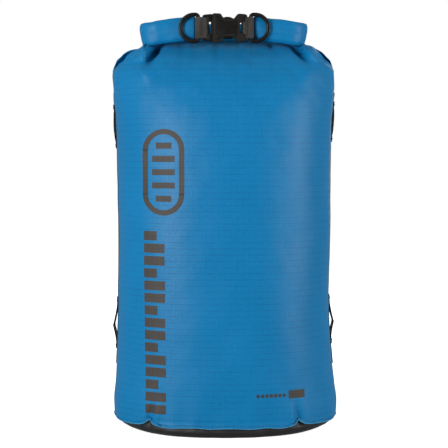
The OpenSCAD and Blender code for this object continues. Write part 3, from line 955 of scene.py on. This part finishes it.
def tab_thread(word, x, body):
    """Bar tack across the webbing: two close rows of slanting stitches."""
    parts = []
    face = BUCKLE_Y - 3.62
    for z in np.arange(-9.6, 9.7, 1.2):
        for dx in (-1.0, 1.0):
            a = (x + dx - 0.8, face, BUCKLE_Z + z - 0.3)
            b = (x + dx + 0.8, face, BUCKLE_Z + z + 0.3)
            parts.append(capsule(a, b, (0, -1, 0), 0.32, 6))
    obj = make_joined(f"{word}_tab_thread", parts, TAB_THREAD)
    place(obj, body, "thread", f"{word}_tab_stitching")


# ---------- buckle
def plate(outline, y_mid, thick, bevel):
    """A flat piece with bevelled edges: its outline is in X and Z about the buckle's centre line."""
    curve = bpy.data.curves.new("plate", "CURVE")
    curve.dimensions = "2D"
    curve.fill_mode = "BOTH"
    curve.extrude = (thick / 2 - bevel) * MM
    curve.bevel_depth = bevel * MM
    curve.bevel_resolution = 2
    curve.offset = -bevel * MM
    spline = curve.splines.new("POLY")
    spline.points.add(len(outline) - 1)
    for point, (x, z) in zip(spline.points, outline):
        point.co = (x * MM, z * MM, 0, 1)
    spline.use_cyclic_u = True
    temp = bpy.data.objects.new("plate", curve)
    bpy.context.scene.collection.objects.link(temp)
    solid = temp.evaluated_get(bpy.context.evaluated_depsgraph_get())
    mesh = bpy.data.meshes.new_from_object(solid)
    bpy.data.objects.remove(temp)
    tidy_mesh(mesh)
    flat = np.empty(len(mesh.vertices) * 3)
    mesh.vertices.foreach_get("co", flat)
    flat = flat.reshape(-1, 3) / MM
    points = np.stack([flat[:, 0], BUCKLE_Y + y_mid - flat[:, 2], BUCKLE_Z + flat[:, 1]], 1)
    faces = [list(p.vertices) for p in mesh.polygons]
    bpy.data.meshes.remove(mesh)
    return points, faces


def mirrored_z(outline):
    return np.array(outline)[::-1] * np.array([1, -1])


def twin_plates(outline, y_mid, thick, bevel):
    """The same plate above and below the buckle's centre line."""
    return [plate(half, y_mid, thick, bevel) for half in (outline, mirrored_z(outline))]


def both_halves(upper, radii, skip_first=True):
    """A rounded outline, the same above and below; a first point on the centre line is kept once."""
    start = 1 if skip_first else 0
    lower = [(x, -z) for x, z in upper[start:][::-1]]
    return rounded(upper + lower, radii + radii[start:][::-1])


def hardware(name, parts, body, node):
    obj = make_joined(name, parts, PLASTIC, tidy=True)
    obj.data.set_sharp_from_angle(angle=math.radians(25))
    place(obj, body, "buckle", node)


def bar(x, half=13.6, radius=1.7, sides=20):
    """Cross bar that the webbing goes round."""
    turn, height = np.meshgrid(TAU * np.arange(sides) / sides, np.linspace(-half, half, 8))
    points = np.stack([
        x + radius * np.cos(turn), BUCKLE_Y + radius * np.sin(turn), BUCKLE_Z + height,
    ], -1)
    return points.reshape(-1, 3), tube_faces(8, sides)


def buckle_male():
    frame_top = rounded(
        [(-24.6, 12.9), (-19.2, 12.9), (-18.0, 7.2), (-12.8, 7.2), (-12.8, 15.9), (-15.2, 15.9),
         (-22.6, 15.2), (-24.6, 13.9)],
        [0.4, 0.8, 1.2, 0.1, 0.9, 1.5, 2.0, 0.5],
    )
    wall = [(-14.7, -9.4), (-12.8, -9.4), (-12.8, 9.4), (-14.7, 9.4)]
    tongue = rounded([(-13.2, -2.6), (9.6, -2.2), (9.6, 2.2), (-13.2, 2.6)], [0.1, 1.6, 1.6, 0.1])
    rib = rounded([(-23.0, 13.5), (-16.6, 13.5), (-16.6, 14.9), (-22.4, 14.5)], 0.5)
    parts = twin_plates(frame_top, 0, 9, 0.8) + twin_plates(rib, -4.6, 0.9, 0.3)
    parts += [plate(wall, 0, 9, 0.5), plate(tongue, 0, 3.4, 0.6), bar(MALE_BAR_X)]
    hardware("buckle_male_half", parts, "left_end", "buckle_male")


def latch_arm(name, side, body, node):
    """Spring arm with its prong, a raised pad and four grip ribs."""
    def facing(outline):
        return outline if side > 0 else mirrored_z(outline)

    outline = rounded(
        [(-12.4, 6.5), (-12.4, 9.1), (-1.9, 9.1), (-0.7, 12.0), (3.8, 12.9), (8.6, 12.5),
         (12.4, 10.3), (14.1, 7.5), (13, 6.3), (2, 6.3)],
        [0.2, 0.3, 1.2, 1.4, 2.5, 2.5, 2.0, 1.0, 0.6, 2],
    )
    pad = rounded([(0.4, 9.7), (0.8, 11.6), (4, 12.2), (8.4, 11.8), (11.4, 9.9)], 0.8)
    parts = [plate(facing(outline), 0, 5.0, 0.7), plate(facing(pad), -2.7, 0.9, 0.3)]
    for x in (2.2, 4.2, 6.2, 8.2):
        top = 13.1 - 0.035 * (x - 4) ** 2
        grip = rounded([(x - 0.35, 12.0), (x + 0.35, 12.0), (x + 0.35, top), (x - 0.35, top)], 0.25, 2)
        parts.append(plate(facing(grip), 0, 4.2, 0.2))
    hardware(name, parts, body, node)


def buckle_female():
    top = [
        (-12.3, 0.0), (-12.3, 15.9), (-3.6, 15.7), (-1.8, 12.4), (1.4, 9.3), (10.4, 9.2), (13.0, 10.2),
        (17.0, 15.4), (25.4, 14.8), (27.0, 13.6),
    ]
    radii_top = [0.1, 1.8, 1.8, 1.2, 1.8, 1.8, 1.2, 2.0, 1.0, 0.4]
    slot = [(27.0, 12.8), (22.9, 12.8), (21.7, 7.2), (18.6, 7.2)]
    radii_slot = [0.3, 0.8, 1.2, 1.0]
    outline = both_halves(top + slot, radii_top + radii_slot)
    face = [
        (-10.9, 14.2), (-4.6, 14.0), (-3.2, 11.2), (0.8, 7.6), (11.2, 7.4), (14.2, 9.2), (16.2, 12.2),
        (16.6, 8.6),
    ]
    face_full = both_halves(face, [1.2] * len(face), skip_first=False)
    rail = rounded(
        [(-12.3, 11.6), (-12.3, 15.9), (-3.6, 15.7), (-1.8, 12.4), (-2.2, 11.6)],
        [0.2, 1.8, 1.6, 0.6, 0.2],
    )
    block = [(15.0, 0.0), (14.6, 12.4), (17.0, 15.4), (25.4, 14.8), (27.0, 13.6)]
    end_block = both_halves(block + slot, [0.1, 0.6, 2.0, 1.0, 0.4] + radii_slot)
    guide = rounded([(-12.0, 3.1), (4.5, 3.1), (4.5, 4.4), (-12.0, 4.4)], 0.3)
    parts = [plate(outline, y, 2.9, 0.75) for y in (-4.55, 4.55)]
    parts += twin_plates(rail, 0, 6.6, 0.3) + [plate(end_block, 0, 6.6, 0.3)]
    parts += twin_plates(guide, 0, 6.4, 0.2)
    parts += [plate(face_full, y, 1.1, 0.5) for y in (-6.0, 6.0)] + [bar(FEMALE_BAR_X)]
    hardware("buckle_socket_half", parts, "closure", "buckle_female")


def hardware_set():
    for word, side, ring_x, *_ in ENDS:
        d_ring(word, side, ring_x)
    for word, side, ring_x, bar_x, lobe_x, body in ENDS:
        webbing_tab(word, ring_x, bar_x, lobe_x, body)
    for word, side, ring_x, bar_x, lobe_x, body in ENDS:
        tab_thread(word, ring_x - 4 * side, body)
    buckle_male()
    buckle_female()
    latch_arm("upper_latch", 1, "upper_latch", "upper_latch_arm")
    latch_arm("lower_latch", -1, "lower_latch", "lower_latch_arm")


# ---------- print: plain marks of no meaning
def front_length(x, z):
    """Distance round the waist from the left seam, so that ink and weave share one grid."""
    angle, along = even_angles(math.pi, TAU, 800)
    return np.interp(front_angle(x, z), angle, along)


def patch(x, z):
    """A printed patch just above the front fabric, from grids of x and z."""
    points = skin(front_angle(x, z), z, 0.16)
    uv = np.stack([front_length(x, z), z], -1)
    return points.reshape(-1, 3), quads(*x.shape).tolist(), uv.reshape(-1, 2)


def bar_patch(x0, x1, z0, z1):
    across = max(3, int(abs(x1 - x0) / 1.5))
    up = max(3, int(abs(z1 - z0) / 1.5))
    v, u = np.meshgrid(np.linspace(z0, z1, up), np.linspace(x0, x1, across), indexing="ij")
    return patch(u, v)


def capsule_patch(x, z, wide, tall, band):
    """An upright stadium-shaped ring."""
    turn = np.linspace(0, math.pi, 49)
    side = np.linspace(tall - wide, wide - tall, 25) / 2
    cx = np.concatenate([np.cos(turn), -np.ones(25), -np.cos(turn), np.ones(25)])
    cz = np.concatenate([np.sin(turn), np.zeros(25), -np.sin(turn), np.zeros(25)])
    lift = np.concatenate([np.full(49, side[0]), side, np.full(49, side[-1]), side[::-1]])
    inset, edge = np.meshgrid(np.linspace(0, band, 5), np.arange(len(cx)), indexing="ij")
    radius = wide / 2 - inset
    return patch(x + radius * cx[edge], z + radius * cz[edge] + lift[edge])


def print_marks():
    """A plain upright ring with level bars, a column of plain blocks, and a small row of dashes."""
    parts = [capsule_patch(-68, 303, 48, 98, 6.0)]
    for k, half in enumerate((9, 13, 13, 13, 9)):
        z = 303 + 15 * (2 - k)
        parts.append(bar_patch(-68 - half, -68 + half, z - 3.4, z + 3.4))
    z = 236.0
    tall = 10.5
    for k in range(15):
        wide = 24 if k % 3 else 15
        parts.append(bar_patch(-91, -91 + wide, z - tall, z))
        z -= tall + 3.7
    for k in range(7):
        parts.append(bar_patch(36 + 5.0 * k, 39.4 + 5.0 * k, 47.0, 51.0))
    parts.append(bar_patch(73, 92, 44.5, 54.0))
    place(make_joined("printed_marks", parts, INK), "bag", "shell_fabric")


# ---------- camera, floor and lights
SENSOR = 36  # millimetres
FRAME, FOCAL = 448, 1421  # the picture's width and the focal length, in pixels


def camera():
    data = bpy.data.cameras.new("camera")
    data.sensor_width = SENSOR
    data.lens = SENSOR * FOCAL / FRAME
    data.dof.use_dof = False
    cam = bpy.data.objects.new("camera", data)
    bpy.context.scene.collection.objects.link(cam)
    cam.location = (0.0006, -1.7, 0.328)
    cam.rotation_euler = (math.radians(90 - 2.98), 0, 0)
    bpy.context.scene.camera = cam


def area_light(name, location, target, size, power):
    data = bpy.data.lights.new(name, "AREA")
    data.shape = "RECTANGLE"
    data.size, data.size_y = size
    data.energy = power
    obj = bpy.data.objects.new(name, data)
    bpy.context.scene.collection.objects.link(obj)
    obj.location = location
    obj.rotation_euler = (Vector(target) - Vector(location)).to_track_quat("-Z", "Y").to_euler()


def studio():
    scene = bpy.context.scene
    scene.view_settings.view_transform = "Standard"
    world = bpy.data.worlds.new("studio")
    scene.world = world
    world.use_nodes = True
    tree = world.node_tree
    background = tree.nodes["Background"]
    background.inputs["Color"].default_value = (1, 1, 1, 1)
    seen = add(tree, "ShaderNodeLightPath").outputs["Is Camera Ray"]
    strength = calc(tree, "MULTIPLY_ADD", seen, 0.73, 0.27)
    tree.links.new(strength, background.inputs["Strength"])
    area_light("left_softbox", (-1.25, -1.35, 0.55), (0, 0, 0.3), (0.55, 1.05), 35)
    area_light("right_softbox", (1.5, -0.65, 0.5), (0, 0, 0.3), (0.45, 1.0), 19.5)
    area_light("top_softbox", (0.0, 0.2, 1.9), (0, 0, 0.3), (1.6, 1.2), 1)
    area_light("back_softbox", (0.15, 1.7, 0.6), (0, 0, 0.24), (1.0, 1.0), 8)
    bm = bmesh.new()
    bmesh.ops.create_circle(bm, cap_ends=True, segments=96, radius=12)
    mesh = bpy.data.meshes.new("floor")
    bm.to_mesh(mesh)
    bm.free()
    mesh.materials.append(floor_material())
    floor = bpy.data.objects.new("floor", mesh)
    floor.location = (0, 0, -0.0004)
    scene.collection.objects.link(floor)
    floor.visible_diffuse = False
    floor.visible_glossy = False


# ---------- build
camera()
studio()
shell_panel("front_fabric", math.pi, TAU, 1.0, "front_panel")
shell_panel("back_fabric", 0.0, math.pi, -1.0, "back_panel")
base_piece()
base_tape()
hem_stitches()
hem_highlight_edge()
sides()
closure()
hardware_set()
print_marks()

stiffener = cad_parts["mouth_stiffener"]
stiffener.data.materials.clear()
stiffener.data.materials.append(STRIP)
